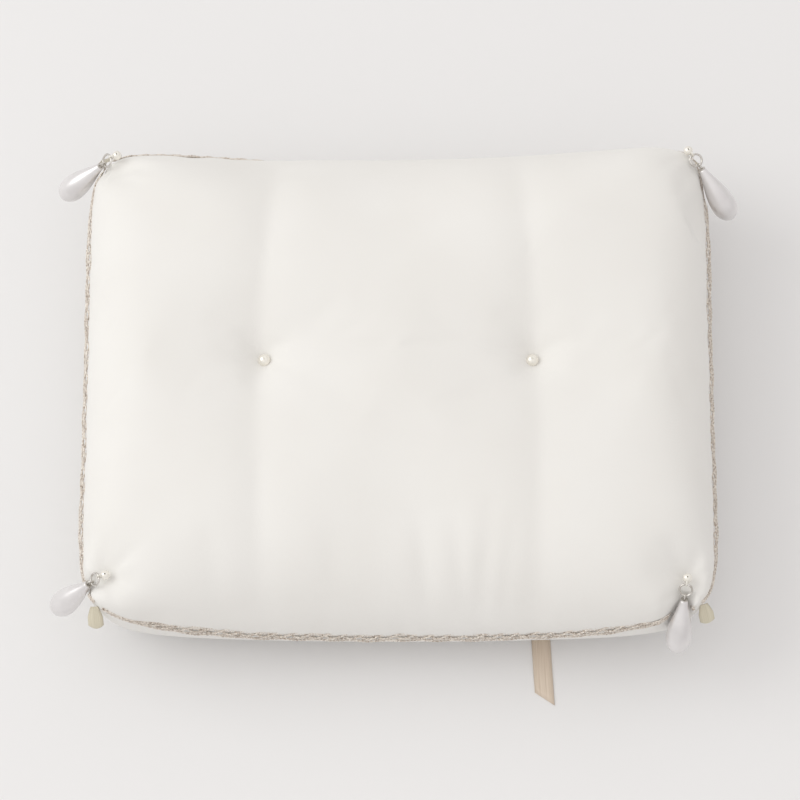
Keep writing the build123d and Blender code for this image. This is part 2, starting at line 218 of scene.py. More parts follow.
def press_under(points, start, way, hinge, length, half_width, thick):
    """Move an array of points in under a charm part that lies from a start along a way."""
    start, way, side = np.array(start), np.array(way), np.array(hinge)
    out = np.cross(side, way)
    out *= np.sign(out[2])
    along = (points - start) @ way
    lateral = np.abs((points - start) @ side)
    lift = (points - start) @ out
    width = half_width(np.clip(along / length, 0, 1))
    under = -thick(np.clip(lateral / np.maximum(width, 1e-6), 0, 1), width)
    past = np.maximum(np.maximum(-along, along - length), 0)
    limit = under + SIDE_SLOPE * np.maximum(lateral - width, 0) + END_SLOPE * past
    near = (past < PRESS_PAST) & (lateral < width + PRESS_BESIDE) & (lift < PRESS_ABOVE)
    return points - out * np.where(near & (lift > limit), lift - limit, 0)[:, None]


# %% widths of a charm's parts
WIDEST = 0.7  # the share of a drop's length at which it is widest


def even(value):
    """A width or a depth that is the same everywhere on a part."""
    return lambda share, width=None: value + 0 * share


def drop_width(share):
    """Half width of a drop with a little room, along its length."""
    neck = np.sin(np.pi * np.clip(share * 0.62 + 0.09, 0, 1)) ** 1.25
    tip = np.sqrt(np.clip(1 - ((share - WIDEST) / 0.3) ** 2, 0, 1))
    return DROP_RADIUS * np.where(share > WIDEST, tip, neck) + 0.7 * MM


# %% clear of all charms
def clear_of_charms(points, spare):
    """Press an array of points in under the four charms, with a little to spare."""
    for corner, (start, way, hinge) in charms.items():
        ring_start = Vector(joints[f"ring_swing_{corner}"]["pos_m"])
        ring_way = (start - ring_start).normalized()
        points = press_under(
            points, ring_start + 0.6 * MM * ring_way, ring_way, hinge, 4.5 * MM,
            even(2.6 * MM), even(0.5 * MM + spare))
        points = press_under(
            points, start, way, hinge, CAP_LIFT, even(1.6 * MM), even(1.3 * MM + spare))
        points = press_under(
            points, start + CAP_LIFT * way, way, hinge, DROP_LENGTH + spare, drop_width,
            lambda across, width: width * np.sqrt(1 - across**2) + spare)
    return points


print("hollows for", len(charms), "charms, each with a ring, an eye and a drop")

# %% [markdown]
# ## The stuffed cloth
# The pillow is modelled as one skin for both covers and the stuffing. It could be sculpted, or blown up
# from two flat sheets by a simulation alone, but then the seam, the tufts and the corners wouldn't be
# where the firm parts are. So it starts as two flat grids, whose rings are drawn in to the seam line:
# the upper half rises from the seam in a steep wall to a crowned back, and the lower half falls to the
# table. Tufts, valleys and puckers are smooth hollows that are added to the height. A short cloth
# simulation then only swells the skin between the stitches.

# %% where the ribbons run
RIBBON_ROUTES = {  # plan points of the ribbons' middle lines, from the short tail's end to the long one's
    "right": (
        (37.0, 70.0), (38.6, 47.0), (40.8, 23.0), (42.6, 0.0),
        (44.2, -24.0), (44.6, -49.0), (45.2, -74.0), (46.6, -99.0)),
    "left": (
        (-38.5, -70.0), (-39.2, -47.0), (-40.6, -23.0), (-42.6, 0.0),
        (-45.2, 22.0), (-47.4, 44.0), (-48.6, 66.0), (-49.2, 87.5)),
}
RIBBON_ROOM = 0.55 * MM  # how high the cloth lies over a ribbon
print("ribbon routes", {side: len(route) for side, route in RIBBON_ROUTES.items()}, "points")


# %% hollows at the tufts
UNDER_TUFT = 5.2 * MM  # how far a tuft lifts the ribbon side off the table
PLEATS = 5  # folds that fan out from a tuft


def bump(distance, width):
    """1 at no distance, falling to 0 over about the width, round on top."""
    return np.exp(-np.sqrt(distance**2 + (0.12 * width) ** 2) / (0.45 * width)) * np.exp(0.12 / 0.45)


def tuft_pull(x, y, depth, near, far):
    """How far both tufts pull the cloth in at a plan position."""
    pull = np.zeros_like(x)
    for place in tufts.values():
        distance = np.hypot(x - place.x, y - place.y)
        angle = np.arctan2(y - place.y, x - place.x)
        pull += depth * (0.68 * bump(distance, near) + 0.32 * np.exp(-((distance / far) ** 2)))
        window = np.exp(-(((distance - 9 * MM) / (6 * MM)) ** 2))
        pull += 0.30 * MM * window * np.cos(PLEATS * angle + 0.7 * np.sin(2 * angle) + place.x * 90)
    return pull


# %% heights of both sides
VALLEY_DEPTH = 3.7 * MM  # the valley from front to back through each tuft
MIDDLE_DEPTH = 0.9 * MM  # the faint line from tuft to tuft


def back_height(x, y):
    """Height of the plain side over a plan position, before the wall rounds it off."""
    valleys = np.zeros_like(x)
    for place in tufts.values():
        wander = place.x + 1.6 * MM * np.sin(y / (31 * MM) + place.x * 40) - 0.03 * y * np.sign(place.x)
        valleys += VALLEY_DEPTH * bump(np.abs(x - wander), 19 * MM) * (0.85 + 0.15 * np.cos(y / (24 * MM)))
    by_the_tufts = np.exp(-(((np.abs(x) - 34 * MM) / (26 * MM)) ** 2))
    middle_line = MIDDLE_DEPTH * bump(np.abs(y - 1.5 * MM - 0.04 * np.abs(x)), 15 * MM) * by_the_tufts
    crown = 1.6 * MM * (1 - (y / HALF_Y) ** 2) - 1.2 * MM * np.cos(x / (43 * MM) * pi)
    dimples = tuft_pull(x, y, 8.3 * MM, 13 * MM, 26 * MM)
    return top_of_form + 0.8 * MM + crown - valleys - middle_line - dimples


def under_height(x, y):
    """Height of the ribbon side over a plan position, where it faces the table."""
    lift = tuft_pull(x, y, UNDER_TUFT + 0.4 * MM, 12 * MM, 12 * MM)
    for route in RIBBON_ROUTES.values():
        line = np.array(route) * MM
        middle = np.interp(y, *(line[np.argsort(line[:, 1])].T[::-1]))
        over = np.abs(x - middle) < 4.2 * MM
        reach = (y > line[:, 1].min() - 4 * MM) & (y < line[:, 1].max() + 4 * MM)
        lift = np.where(over & reach, np.maximum(lift, RIBBON_ROOM), lift)
    return 0.02 * MM + lift


# %% one half of the skin
EDGE_RING = 0.80  # the ring of the grid where the flat top ends and the wall begins
EDGE_SCALE = 0.86  # how far out that ring lies, as a share of the way to the seam


def cushion_point(u, v, upper):
    """Places of one half's grid points, given as arrays from -1 to 1."""
    ring = np.maximum(np.maximum(np.abs(u), np.abs(v)), 1e-9)
    edge_u, edge_v = u / ring, v / ring
    outer_x, outer_y = seam_plan(edge_u, edge_v)
    share = np.clip((ring - EDGE_RING) / (1 - EDGE_RING), 0, 1)
    on_wall = 1 - (1 - EDGE_SCALE) * (1 - share) ** 2
    scale = np.where(ring < EDGE_RING, EDGE_SCALE * ring / EDGE_RING, on_wall)
    long_side = np.clip(np.abs(edge_v) ** 9 / (np.abs(edge_u) ** 9 + np.abs(edge_v) ** 9), 0, 1)
    seam = seam_height(outer_x, outer_y)
    x = outer_x * scale
    y = SEAM_SHIFT + (outer_y - SEAM_SHIFT) * scale
    if upper:
        boxy = 13.0 * (1 - long_side) + np.where(edge_v < 0, 6.5, 5.0) * long_side
        y = y + (1 - scale**8) * 2.2 * MM
        rise = np.sqrt(np.clip(1 - scale**boxy, 0, 1))
        z = seam + (back_height(x, y) - seam) * rise
    else:
        boxy = 15.0 * (1 - long_side) + 12.0 * long_side
        fall = np.clip(1 - scale**boxy, 0, 1) ** 0.5
        z = seam + (under_height(x, y) - seam) * fall
    return np.stack([x, y, z], axis=1)


# %% puckers at the seam
FRONT_WALL = -71 * MM  # where the front's gathers are deepest
PUCKERS = (  # place along the front, depth and width, in millimetres
    (8, 0.9, 3.2), (19, 0.7, 2.4), (27, 1.0, 3.0), (34, 0.5, 2.2), (-58, 0.5, 4.0), (-20, 0.4, 4.5))


def seam_puckers(points, u, v):
    """Small gathers where the cloth is sewn, which fade out away from the seam."""
    ring = np.maximum(np.abs(u), np.abs(v))
    closeness = np.exp(-(((1 - ring) / 0.085) ** 2)) * np.clip((1 - ring) / 0.012, 0, 1)
    along = np.arctan2(points[:, 1] - SEAM_SHIFT, points[:, 0]) * 14
    gather = np.sin(along * 2.1) * np.sin(along * 0.83 + 1.1) + 0.5 * np.sin(along * 4.7 + 0.6)
    outward = points - np.array([0, SEAM_SHIFT, 25 * MM])
    outward[:, 2] *= 0.3
    outward /= np.linalg.norm(outward, axis=1)[:, None]
    points = points + outward * (0.28 * MM * closeness * gather)[:, None]
    from_wall = points[:, 1] - FRONT_WALL
    for place, depth, width in PUCKERS:
        front = (points[:, 1] < -45 * MM) & (points[:, 2] > 15 * MM)
        fade = np.exp(-((from_wall / (13 * MM)) ** 2)) * front * np.clip((1 - ring) / 0.06, 0, 1)
        lean = place * MM + from_wall * (0.10 if place > 20 else -0.12)
        points[:, 2] -= depth * MM * np.exp(-(((points[:, 0] - lean) / (width * MM)) ** 2)) * fade
    return points


# %% the back edge and the corners
def back_edge_pull(points):
    """The plain side's back edge is pulled in towards the middle, most of all on the left."""
    high = np.clip((points[:, 2] - 20 * MM) / (20 * MM), 0, 1)
    far = np.clip((points[:, 1] - 25 * MM) / (45 * MM), 0, 1)
    left = 1 / (1 + np.exp((points[:, 0] - 32 * MM) / (15 * MM)))
    pull = (0.8 + 3.4 * left) * MM + 1.7 * MM * np.exp(-(((points[:, 0] + 46 * MM) / (13 * MM)) ** 2))
    points[:, 1] -= pull * high * far**1.5
    return points


def corner_ties(points):
    """The hollow and the short pleats round each tied corner's bead."""
    for place in beads.values():
        around = np.hypot(points[:, 0] - place.x, points[:, 1] - place.y)
        seat = points[around < 3 * MM][:, 2].max() - (place.z - 0.9 * BEAD_RADIUS)
        above = np.clip((points[:, 2] - SEAM_TOP) / (7 * MM), 0, 1)
        points[:, 2] -= seat * np.exp(-((around / (10.5 * MM)) ** 2)) * above
    for place in beads.values():
        offset = points - np.array(place)
        distance = np.linalg.norm(offset, axis=1)
        angle = np.arctan2(offset[:, 1], offset[:, 0])
        pull = 1.5 * MM * np.exp(-((distance / (3.2 * MM)) ** 2))
        pleat = 0.40 * MM * np.exp(-(((distance - 7 * MM) / (4.5 * MM)) ** 2))
        pleat *= np.cos(7 * angle + place.x * 50)
        points[:, 2] -= (pull + pleat) * np.clip((points[:, 2] - SEAM_TOP) / (2 * MM), 0, 1)
    return points


# %% both halves
GRID = 110  # cells along each edge of each half

bm = bmesh.new()
for upper in (True, False):
    made = bmesh.ops.create_grid(bm, x_segments=GRID, y_segments=GRID, size=1)["verts"]
    flat = np.array([v.co for v in made])
    places = cushion_point(flat[:, 0], flat[:, 1], upper)
    if upper:
        places = seam_puckers(places, flat[:, 0], flat[:, 1])
        places = corner_ties(places)
    places = clear_of_charms(back_edge_pull(places), 0.5 * MM)
    for vert, place in zip(made, places):
        vert.co = place
    if not upper:
        lower = set(made)
        bmesh.ops.reverse_faces(bm, faces=[face for face in bm.faces if face.verts[0] in lower])
bmesh.ops.remove_doubles(bm, verts=bm.verts, dist=0.02 * MM)
open_edges = sum(edge.is_boundary for edge in bm.edges)
print("cushion", len(bm.verts), "points", len(bm.faces), "faces,", open_edges, "open edges")

# %% [markdown]
# ## Swelling
# Stuffing pushes the cloth out wherever no stitch holds it. A cloth simulation with pressure inside
# does that, while the seam, the tufts and the face on the table are pinned. It runs for a few frames,
# and no point may move further than a cap, so the charms stay clear of the cloth.

# %% the cushion's object
SWELL_FRAMES = 20
SWELL_CAP = 1.6 * MM
pin_places = np.array([v.co for v in bm.verts])
cushion_mesh = bpy.data.meshes.new("pillow_cushion")
bm.to_mesh(cushion_mesh)
bm.free()
cushion = bpy.data.objects.new("pillow_cushion", cushion_mesh)
bpy.context.collection.objects.link(cushion)


# %% stitched points
def near_seam(points, reach):
    """True for points within a reach of the seam line, as it is before its back edge is pulled in."""
    sweep = np.linspace(-1, 1, 400)
    one = np.ones_like(sweep)
    line = []
    for u, v in ((sweep, -one), (sweep, one), (-one, sweep), (one, sweep)):
        x, y = seam_plan(u, v)
        line.append(np.stack([x, y, seam_height(x, y)], axis=1))
    line = np.concatenate(line)
    near = np.full(len(points), 1.0)
    for start in range(0, len(points), 2000):
        part = points[start:start + 2000]
        gap = np.linalg.norm(part[:, None, :] - line[None, ::2, :], axis=2)
        near[start:start + 2000] = gap.min(axis=1)
    return near < reach


held = near_seam(pin_places, 0.9 * MM) | (pin_places[:, 2] < 1.2 * MM)
for place in tufts.values():
    held |= np.hypot(pin_places[:, 0] - place.x, pin_places[:, 1] - place.y) < 3.5 * MM
print("stitched points", int(held.sum()), "of", len(held))

# %% the swelling
pins = cushion.vertex_groups.new(name="stitches")
pins.add([int(i) for i in np.nonzero(held)[0]], 1.0, "REPLACE")
cloth = cushion.modifiers.new("swell", "CLOTH")
cloth.settings.quality = 4
cloth.settings.mass = 0.15
cloth.settings.tension_stiffness = 20
cloth.settings.compression_stiffness = 20
cloth.settings.shear_stiffness = 8
cloth.settings.bending_stiffness = 0.6
cloth.settings.use_pressure = True
cloth.settings.uniform_pressure_force = 4
cloth.settings.effector_weights.gravity = 0
cloth.settings.vertex_group_mass = "stitches"
cloth.collision_settings.use_collision = False
cloth.point_cache.frame_start = 1
cloth.point_cache.frame_end = SWELL_FRAMES
for frame_number in range(1, SWELL_FRAMES + 1):
    bpy.context.scene.frame_set(frame_number)
settled = cushion.evaluated_get(bpy.context.evaluated_depsgraph_get()).to_mesh()
swollen = np.array([v.co for v in settled.vertices])
cushion.modifiers.clear()
cushion.vertex_groups.clear()
bpy.context.scene.frame_set(1)
move = swollen - pin_places
length = np.linalg.norm(move, axis=1)
move *= (np.minimum(length, SWELL_CAP) / np.maximum(length, 1e-9))[:, None]
print("swelling: largest", round(float(length.max()) * 1000, 2), "mm, kept below", SWELL_CAP * 1000)
swollen = clear_of_charms(pin_places + move, 0.4 * MM)
swollen[:, 2] = np.maximum(swollen[:, 2], np.minimum(pin_places[:, 2], 0.6 * MM))
cushion_mesh.vertices.foreach_set("co", swollen.ravel())
cushion_mesh.update()

# %% cushion finish
cushion_mesh.polygons.foreach_set("use_smooth", [True] * len(cushion_mesh.polygons))
smoother = cushion.modifiers.new("round off", "SUBSURF")
smoother.levels = smoother.render_levels = 1
print("cushion after swelling", len(cushion_mesh.polygons), "faces before its subdivision")

# %% [markdown]
# ## Finishes
# Every finish is a Principled shader fed by small node groups. A group holds one effect that more than
# one finish uses: the crossing threads of a woven cloth, the fine unevenness of anything handmade, and
# the glints of a metallic yarn. Patterns are measured on the piece itself, in real metres.

# %% node helpers
def new_group(name, inputs, outputs):
    """A shader node group with float inputs that have start values, and named outputs."""
    group = bpy.data.node_groups.new(name, "ShaderNodeTree")
    for label, start in inputs:
        socket = group.interface.new_socket(label, in_out="INPUT", socket_type="NodeSocketFloat")
        socket.default_value = start
    for label in outputs:
        group.interface.new_socket(label, in_out="OUTPUT", socket_type="NodeSocketFloat")
    nodes = group.nodes
    return group, nodes.new("NodeGroupInput"), nodes.new("NodeGroupOutput")


def math_node(tree, operation, first, second=None):
    """A Math node; a number sets a socket and an output is linked to it."""
    node = tree.nodes.new("ShaderNodeMath")
    node.operation = operation
    for socket, value in zip(node.inputs, (first, second)):
        if isinstance(value, (int, float)):
            socket.default_value = value
        elif value is not None:
            tree.links.new(value, socket)
    return node.outputs[0]


def noise_node(tree, coordinates, scale, detail=2.0):
    """The value of a noise texture; its scale is a number or an output."""
    node = tree.nodes.new("ShaderNodeTexNoise")
    if isinstance(scale, (int, float)):
        node.inputs["Scale"].default_value = scale
    else:
        tree.links.new(scale, node.inputs["Scale"])
    node.inputs["Detail"].default_value = detail
    tree.links.new(coordinates, node.inputs["Vector"])
    return node.outputs["Fac"]


# %% group: woven threads
weave, weave_in, weave_out = new_group(
    "woven_threads", [("Wave rate", 2600)], ["Height", "Thread tone"])
coordinates = weave.nodes.new("ShaderNodeTexCoord")
split = weave.nodes.new("ShaderNodeSeparateXYZ")
weave.links.new(coordinates.outputs["Object"], split.inputs[0])
upright = math_node(weave, "MULTIPLY", split.outputs["Z"], 0.8)


def thread_wave(direction, operation):
    """A wave over the threads that lie one way; the height carries it on down the walls."""
    way_over = math_node(weave, operation, split.outputs[direction], upright)
    return math_node(weave, "SINE", math_node(weave, "MULTIPLY", way_over, weave_in.outputs["Wave rate"]))


crossing = math_node(weave, "MULTIPLY", thread_wave("X", "ADD"), thread_wave("Y", "SUBTRACT"))
slub = noise_node(weave, coordinates.outputs["Object"], 700.0, 3.0)
height = math_node(weave, "ADD", math_node(weave, "MULTIPLY", crossing, 0.35), slub)
weave.links.new(height, weave_out.inputs["Height"])
thread_tone = math_node(weave, "ADD", math_node(weave, "MULTIPLY", crossing, 0.12), slub)
weave.links.new(thread_tone, weave_out.inputs["Thread tone"])
print(weave.name, len(weave.nodes), "nodes")

# %% group: uneven handwork
uneven, uneven_in, uneven_out = new_group("uneven_handwork", [("Patch size", 0.03)], ["Patches", "Grain"])
coordinates = uneven.nodes.new("ShaderNodeTexCoord").outputs["Object"]
per_metre = math_node(uneven, "DIVIDE", 1.0, uneven_in.outputs["Patch size"])
uneven.links.new(noise_node(uneven, coordinates, per_metre, 2.0), uneven_out.inputs["Patches"])
fine = math_node(uneven, "MULTIPLY", per_metre, 22.0)
uneven.links.new(noise_node(uneven, coordinates, fine, 2.0), uneven_out.inputs["Grain"])
print(uneven.name, len(uneven.nodes), "nodes")

# %% group: yarn glints
glints, glints_in, glints_out = new_group(
    "yarn_glints", [("Glints per metre", 2600), ("Share", 0.3)], ["Mask", "Fibres"])
coordinates = glints.nodes.new("ShaderNodeTexCoord").outputs["Object"]
cells = glints.nodes.new("ShaderNodeTexVoronoi")
glints.links.new(coordinates, cells.inputs["Vector"])
glints.links.new(glints_in.outputs["Glints per metre"], cells.inputs["Scale"])
tone = glints.nodes.new("ShaderNodeSeparateColor")
glints.links.new(cells.outputs["Color"], tone.inputs[0])
shining = math_node(glints, "LESS_THAN", tone.outputs["Red"], glints_in.outputs["Share"])
glints.links.new(shining, glints_out.inputs["Mask"])
glints.links.new(tone.outputs["Green"], glints_out.inputs["Fibres"])
print(glints.name, len(glints.nodes), "nodes")


# %% finish helpers
def new_finish(name, roughness, metallic=0.0, **sockets):
    """A material with one Principled shader whose plain values are set on its own sockets."""
    finish = bpy.data.materials.new(name)
    finish.use_nodes = True
    shader = finish.node_tree.nodes["Principled BSDF"]
    shader.inputs["Roughness"].default_value = roughness
    shader.inputs["Metallic"].default_value = metallic
    for label, value in sockets.items():
        shader.inputs[label.replace("_", " ")].default_value = value
    return finish, finish.node_tree, shader


def use_group(tree, group, **values):
    """A node group placed in a material, with its own values."""
    node = tree.nodes.new("ShaderNodeGroup")
    node.node_tree = group
    for label, value in values.items():
        node.inputs[label.replace("_", " ")].default_value = value
    return node


def colour_between(tree, shader, mask, first, second, low=0.3, high=0.7):
    """Base colour that goes from one colour to another as a mask rises from low to high."""
    ramp = tree.nodes.new("ShaderNodeValToRGB")
    ramp.color_ramp.elements[0].position, ramp.color_ramp.elements[0].color = low, (*first, 1)
    ramp.color_ramp.elements[1].position, ramp.color_ramp.elements[1].color = high, (*second, 1)
    tree.links.new(mask, ramp.inputs[0])
    tree.links.new(ramp.outputs[0], shader.inputs["Base Color"])


def bumpy(tree, shader, height, distance, strength=1.0):
    """Small relief from a height value; the distance is its depth in metres."""
    bump_node = tree.nodes.new("ShaderNodeBump")
    bump_node.inputs["Distance"].default_value = distance
    bump_node.inputs["Strength"].default_value = strength
    tree.links.new(height, bump_node.inputs["Height"])
    tree.links.new(bump_node.outputs[0], shader.inputs["Normal"])


def rough_between(tree, shader, mask, low, high):
    """Roughness that goes from low to high with a mask."""
    span = tree.nodes.new("ShaderNodeMapRange")
    span.inputs["To Min"].default_value, span.inputs["To Max"].default_value = low, high
    tree.links.new(mask, span.inputs["Value"])
    tree.links.new(span.outputs[0], shader.inputs["Roughness"])


# %% [markdown]
# The cover is a plain-woven ivory cloth with a soft face: almost no gloss, a little sheen at the edges
# and a barely uneven tone. Its threads are about four to the millimetre (12,500 radians of the wave to
# the metre), so they show only close up. An image of cloth would do, but waves need no file.

# %% finish: cover cloth
cover_cloth, tree, shader = new_finish("cover_cloth", 0.85, Sheen_Weight=0.15, Sheen_Roughness=0.5)
threads = use_group(tree, weave, Wave_rate=12500.0)
patches = use_group(tree, uneven, Patch_size=0.035)
colour_between(tree, shader, patches.outputs["Patches"], (0.812, 0.797, 0.765), (0.836, 0.824, 0.796))
bumpy(tree, shader, threads.outputs["Height"], 0.00005, 0.6)
rough_between(tree, shader, threads.outputs["Thread tone"], 0.78, 0.92)

# %% [markdown]
# The pearls are moulded beads with a nacre coat. The coat is smooth, but the light sinks into it, so
# the base stays fairly rough under a sharp clear layer. The drops are whiter than the small beads.

# %% finish: pearls
def pearl_finish(name, dark, light, patch):
    """A nacre finish between two tones, whose cloudy patches have a given size."""
    finish, tree, shader = new_finish(name, 0.3, 0.6, Coat_Weight=0.8, Coat_Roughness=0.08, Coat_IOR=1.6)
    lustre = use_group(tree, uneven, Patch_size=patch)
    colour_between(tree, shader, lustre.outputs["Patches"], dark, light)
    rough_between(tree, shader, lustre.outputs["Grain"], 0.28, 0.4)
    bumpy(tree, shader, lustre.outputs["Grain"], 0.00001, 0.3)
    return finish


drop_pearl = pearl_finish("drop_pearl", (0.72, 0.70, 0.70), (0.80, 0.78, 0.78), 0.006)
bead_pearl = pearl_finish("bead_pearl", (0.86, 0.83, 0.76), (0.92, 0.89, 0.82), 0.002)

# %% finish: silver wire
silver_wire, tree, shader = new_finish("silver_wire", 0.25, 1.0)
wear = use_group(tree, uneven, Patch_size=0.0012)
colour_between(tree, shader, wear.outputs["Patches"], (0.50, 0.47, 0.43), (0.78, 0.76, 0.73))
rough_between(tree, shader, wear.outputs["Grain"], 0.16, 0.34)
bumpy(tree, shader, wear.outputs["Grain"], 0.00002, 0.4)

# %% [markdown]
# The braid is spun from beige viscose and a flat metallic thread, so it is matt with scattered glints.

# %% finish: gimp braid
gimp_braid, tree, shader = new_finish("gimp_braid", 0.6)
spark = use_group(tree, glints, Glints_per_metre=2000.0, Share=0.22)
colour_between(tree, shader, spark.outputs["Fibres"], (0.58, 0.50, 0.43), (0.92, 0.87, 0.80), 0.0, 0.85)
tree.links.new(spark.outputs["Mask"], shader.inputs["Metallic"])
rough_between(tree, shader, spark.outputs["Fibres"], 0.22, 0.7)
bumpy(tree, shader, spark.outputs["Fibres"], 0.00012, 0.8)

# %% finish: sewing thread
sewing_thread, tree, shader = new_finish("sewing_thread", 0.6, Sheen_Weight=0.2)
twist = use_group(tree, weave, Wave_rate=9000.0)
colour_between(tree, shader, twist.outputs["Thread tone"], (0.70, 0.67, 0.60), (0.88, 0.86, 0.80))
bumpy(tree, shader, twist.outputs["Height"], 0.00004)

# %% [markdown]
# Satin is woven so that long threads lie on its face. They run along the ribbon, so its gloss is
# stretched across them, and fine streaks follow its length. The streaks read the ribbon's own UV map.

# %% finish: satin
STREAKS = (60, 5200, 1)  # streaks per metre along the ribbon and across it


def satin_finish(name, dark, light):
    """A satin finish between two tones, with streaks along the piece's own map."""
    finish, tree, shader = new_finish(name, 0.38, 0.0, Anisotropic=0.5, Sheen_Weight=0.1)
    sheet_place = tree.nodes.new("ShaderNodeUVMap")
    sheet_place.uv_map = "ribbon"
    stretch = tree.nodes.new("ShaderNodeMapping")
    stretch.inputs["Scale"].default_value = STREAKS
    tree.links.new(sheet_place.outputs[0], stretch.inputs["Vector"])
    streaks = noise_node(tree, stretch.outputs[0], 1.0, 3.0)
    colour_between(tree, shader, streaks, dark, light)
    rough_between(tree, shader, streaks, 0.30, 0.48)
    bumpy(tree, shader, streaks, 0.00003, 0.7)
    return finish


ribbon_satin = satin_finish("ribbon_satin", (0.60, 0.485, 0.375), (0.76, 0.655, 0.545))
loop_satin = satin_finish("loop_satin", (0.58, 0.53, 0.40), (0.72, 0.67, 0.54))
print("finishes", [finish.name for finish in bpy.data.materials])

# %% [markdown]
# ## The two ring ribbons
# Each narrow satin ribbon is tied down at a tuft, and its two tails lie flat under the pillow. The
# longer tail's cut end comes out from under the edge. A curve with a flat bevel could make a tail, but
# its end couldn't be cut on a slant. So a tail's middle line is one smooth spline, and a grid is bent
# to follow it. The strip gets thickness, as real ribbon has, so that its edges catch the light.

# %% spline helper
def smooth_line(points):
    """Points along the NURBS spline that has these control points."""
    data = bpy.data.curves.new("line", "CURVE")
    data.dimensions = "3D"
    spline = data.splines.new("NURBS")
    spline.points.add(len(points) - 1)
    for control, point in zip(spline.points, points):
        control.co = (*point, 1)
    spline.order_u = 3
    spline.use_endpoint_u = True
    spline.resolution_u = 16
    guide = bpy.data.objects.new("line", data)
    bpy.context.collection.objects.link(guide)
    mesh = bpy.data.meshes.new_from_object(guide)
    line = [v.co.copy() for v in mesh.vertices]
    bpy.data.objects.remove(guide)
    bpy.data.meshes.remove(mesh)
    return line


# %% ribbon tails
RIBBON_WIDTH = 6.0 * MM
RIBBON_THICK = 0.3 * MM
ON_TABLE = 0.16  # height of a flat ribbon's middle over the table, in millimetres
LIFTS = ((2.0, 4.6), (7.5, 4.0), (15.0, 0.45))  # how far out from a tuft, and how high, in millimetres
NEAR_TUFT = {  # where each tail is, across the pillow, at those three steps
    ("right", "front"): (42.7, 43.0, 43.7),
    ("right", "back"): (42.5, 42.1, 41.4),
    ("left", "back"): (-42.8, -43.5, -44.4),
    ("left", "front"): (-42.4, -41.8, -41.1),
}
LONG_TAILS = (("right", "front"), ("left", "back"))
SLANT = {"right": 4.6 * MM, "left": -3.0 * MM}  # how far the cut end leans


def tail_points(side, end):
    """Control points of a tail's middle line from its tuft outwards, in millimetres."""
    route = RIBBON_ROUTES[side]
    flat = route[4:] if (side, end) in LONG_TAILS else route[2::-1]
    towards = -1 if end == "front" else 1
    lifted = [(x, towards * out, high) for x, (out, high) in zip(NEAR_TUFT[side, end], LIFTS)]
    return lifted + [(x, y, ON_TABLE) for x, y in flat]


# %% a strip of ribbon
def strip_along(line, width, thick, slant):
    """A flat strip of ribbon that follows a line, with a slanting cut at its far end."""
    cells = len(line) - 1
    bm = bmesh.new()
    bmesh.ops.create_grid(bm, x_segments=cells, y_segments=4, size=0.5)
    flat = bm.loops.layers.uv.new("ribbon")
    steps = np.array([0] + [(b - a).length for a, b in zip(line, line[1:])]).cumsum()
    columns = {vert: min(max(round((vert.co.x + 0.5) * cells), 0), cells) for vert in bm.verts}
    for face in bm.faces:
        for corner in face.loops:
            corner[flat].uv = (steps[columns[corner.vert]], corner.vert.co.y * width)
    for vert, column in columns.items():
        side = vert.co.y
        ahead = (line[min(column + 1, cells)] - line[max(column - 1, 0)]).normalized()
        across = Vector((0, 0, 1)).cross(ahead).normalized()
        reach = max(0.0, 1 - (cells - column) / 6) * slant
        vert.co = line[column] + across * (side * width) + ahead * (side * reach)
        vert.co.z += 0.05 * MM * (2 * side) ** 2
    bmesh.ops.solidify(bm, geom=bm.faces, thickness=thick)
    lowest = min(vert.co.z for vert in bm.verts)
    bmesh.ops.translate(bm, verts=bm.verts, vec=(0, 0, 0.01 * MM - lowest))
    return bm


# %% the four tails
for side, end in NEAR_TUFT:
    name = f"ring_ribbon_{side}_{end}"
    line = smooth_line([Vector(point) * MM for point in tail_points(side, end)])
    strip = strip_along(line, RIBBON_WIDTH, RIBBON_THICK, SLANT[side])
    tail = finish_piece(name, strip, ribbon_satin, f"ring_ribbon_{side}")
    length = sum((b - a).length for a, b in zip(line, line[1:]))
    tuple(line[0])
    print(name, round(length * 1000, 1), "mm long")

# %% cushion joins the frame
cushion_mesh.materials.append(cover_cloth)
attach(cushion, "pillow")
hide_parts("upper_cover", "lower_cover", "filling")
print("cushion stands for both covers and the filling")

# %% [markdown]
# ## The gimp braid
# A braid hides each side's seam. Two wavy cords cross over each other, two rows of small scallops stand
# along the upper edge, two plain cords run below, and a straight core fills the middle. A flat band
# with a pattern would have no edge of its own, so every cord is modelled: two plies twisted together,
# each a curve with a round bevel. The braid narrows to a quarter of its width at the tied corners.

# %% braid places along a seam
SIDES = ("front", "back", "left", "right")
STEP = 0.36 * MM  # from one point of a braid to the next
TIED_END = 1.5 * MM  # how far from the corner's middle the braid goes into the tie
LEAN = {"front": 22, "back": 22, "left": 38, "right": 38}  # degrees by which the braid leans in
RISE = {"front": 1.0 * MM, "back": 0, "left": 0.3 * MM, "right": 0.3 * MM}  # how far above the seam


